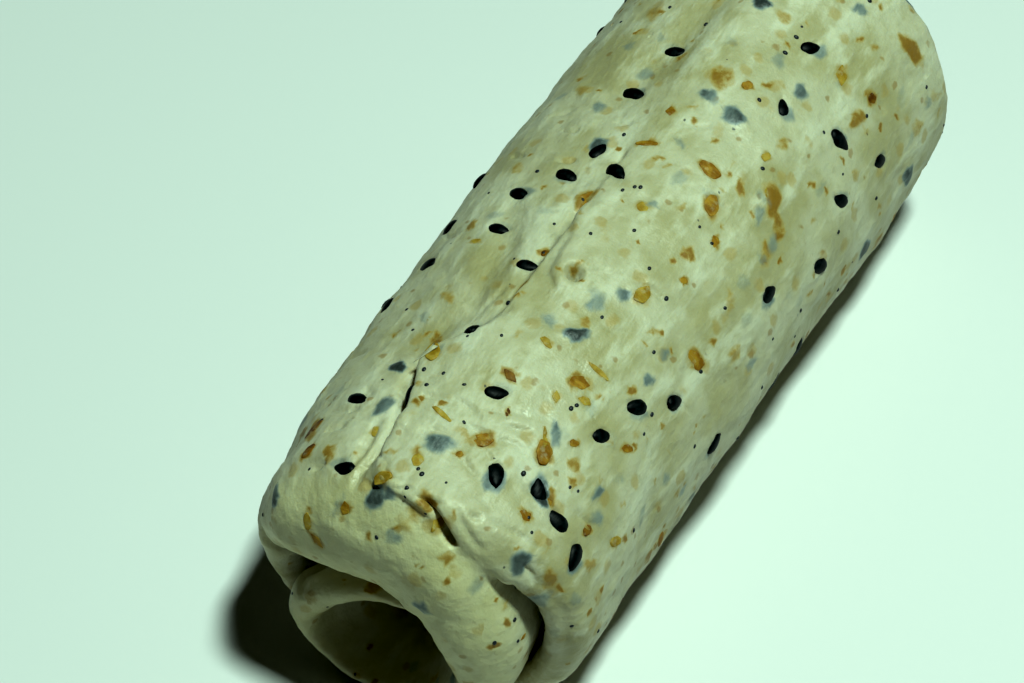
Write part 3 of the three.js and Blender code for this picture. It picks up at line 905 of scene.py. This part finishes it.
onion_finishes = {
    "amber": onion_finish("onion_amber", (0.31, 0.19, 0.02, 1), (0.45, 0.32, 0.07, 1)),
    "orange": onion_finish("onion_orange", (0.25, 0.12, 0.01, 1), (0.40, 0.24, 0.035, 1)),
    "brown": onion_finish("onion_brown", (0.12, 0.045, 0.004, 1), (0.26, 0.13, 0.015, 1)),
}
for number, (place, length, width, tone) in enumerate(chips):
    pattern = chip_patterns[number % len(chip_patterns)]
    size = (length, width, CHIP_THICKNESS)
    chip = copy_to(pattern, f"onion_chip_{number + 1:02d}", place, size, CHIP_SUNK, onion_finishes[tone])
    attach(chip, "root")
    if number < len(CHIP_NODES):
        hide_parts(CHIP_NODES[number])
for pattern in chip_patterns:
    bpy.data.objects.remove(pattern)


# ----------------------------------------------------------------------------------------------------------
# Poppy seeds: tiny blue-black beads. All of them are one piece.

POPPY_SUNK = 0.1
POPPY_BLACK = (0.006, 0.008, 0.012, 1)
POPPY_BLUE = (0.035, 0.04, 0.05, 1)

poppy_finish, tree, shader, place = new_finish("poppy", 0.45)
colour = tinted(tree, noise(tree, place, 0.3), POPPY_BLACK, POPPY_BLUE)
tree.links.new(colour, shader.inputs["Base Color"])
bpy.ops.object.select_all(action="DESELECT")
bpy.ops.mesh.primitive_ico_sphere_add(subdivisions=2, radius=1)
bead = bpy.context.object
bead.data.shade_smooth()
beads = []
for place in poppy_seats:
    long_side = chance.uniform(0.45, 0.75)
    size = (long_side, long_side * 0.8, long_side * 0.75)
    beads.append(copy_to(bead, "poppy_bead", place, size, POPPY_SUNK, poppy_finish))
bpy.data.objects.remove(bead)
bpy.ops.object.select_all(action="DESELECT")
for bead in beads:
    bead.select_set(True)
bpy.context.view_layer.objects.active = beads[0]
bpy.ops.object.join()
poppy = bpy.context.object
poppy.name = "poppy_seeds"
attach(poppy, "root")


# ----------------------------------------------------------------------------------------------------------
# The worktop: a plain pale floor.

WORKTOP_SIZE = 3
WORKTOP_GREY = (0.7, 0.7, 0.7, 1)

bpy.ops.object.select_all(action="DESELECT")
bpy.ops.mesh.primitive_plane_add(size=WORKTOP_SIZE, location=(0, 0, -0.2 * MM))
worktop = bpy.context.object
worktop.name = "worktop"
worktop_finish = bpy.data.materials.new("worktop")
worktop_finish.use_nodes = True
shader = worktop_finish.node_tree.nodes["Principled BSDF"]
shader.inputs["Base Color"].default_value = WORKTOP_GREY
shader.inputs["Roughness"].default_value = 0.7
worktop.data.materials.append(worktop_finish)


# ----------------------------------------------------------------------------------------------------------
# Light and camera.

def soft_light(name, towards, distance, size, watts, colour):
    """A square soft box that looks at the roll from the direction towards."""
    data = bpy.data.lights.new(name, "AREA")
    data.size = size
    data.energy = watts
    data.color = colour
    lamp = bpy.data.objects.new(name, data)
    bpy.context.scene.collection.objects.link(lamp)
    direction = Vector(towards).normalized()
    lamp.location = direction * distance
    lamp.rotation_euler = direction.to_track_quat("Z", "Y").to_euler()


LIGHT_TINT = (0.77, 1.0, 0.87)
soft_light("window", (0.24, 0, 1), 0.8, 0.1, 8.4, LIGHT_TINT)

world = bpy.context.scene.world or bpy.data.worlds.new("room")
bpy.context.scene.world = world
world.use_nodes = True
world.node_tree.nodes["Background"].inputs["Color"].default_value = (*LIGHT_TINT, 1)
world.node_tree.nodes["Background"].inputs["Strength"].default_value = 0.005

CAMERA_TARGET = Vector((-8.17, -9.08, 16.56)) * MM
CAMERA_AZIMUTH = math.radians(29.3)
CAMERA_ELEVATION = math.radians(48)
CAMERA_DISTANCE = 414 * MM
CAMERA_LENS = 125.3
backwards = Vector((
    math.sin(CAMERA_AZIMUTH) * math.cos(CAMERA_ELEVATION),
    -math.cos(CAMERA_AZIMUTH) * math.cos(CAMERA_ELEVATION),
    math.sin(CAMERA_ELEVATION),
))
camera_data = bpy.data.cameras.new("camera")
camera_data.lens = CAMERA_LENS
camera_data.sensor_width = 36
camera = bpy.data.objects.new("camera", camera_data)
bpy.context.scene.collection.objects.link(camera)
camera.location = CAMERA_TARGET + backwards * CAMERA_DISTANCE
camera.rotation_euler = backwards.to_track_quat("Z", "Y").to_euler()
camera_data.clip_start = 0.01
bpy.context.scene.camera = camera

view = bpy.context.scene.view_settings
view.view_transform = "Standard"
view.gamma = 0.75
view.use_curve_mapping = True
view.curve_mapping.black_level = (0.012, 0.012, 0.012)
view.curve_mapping.update()
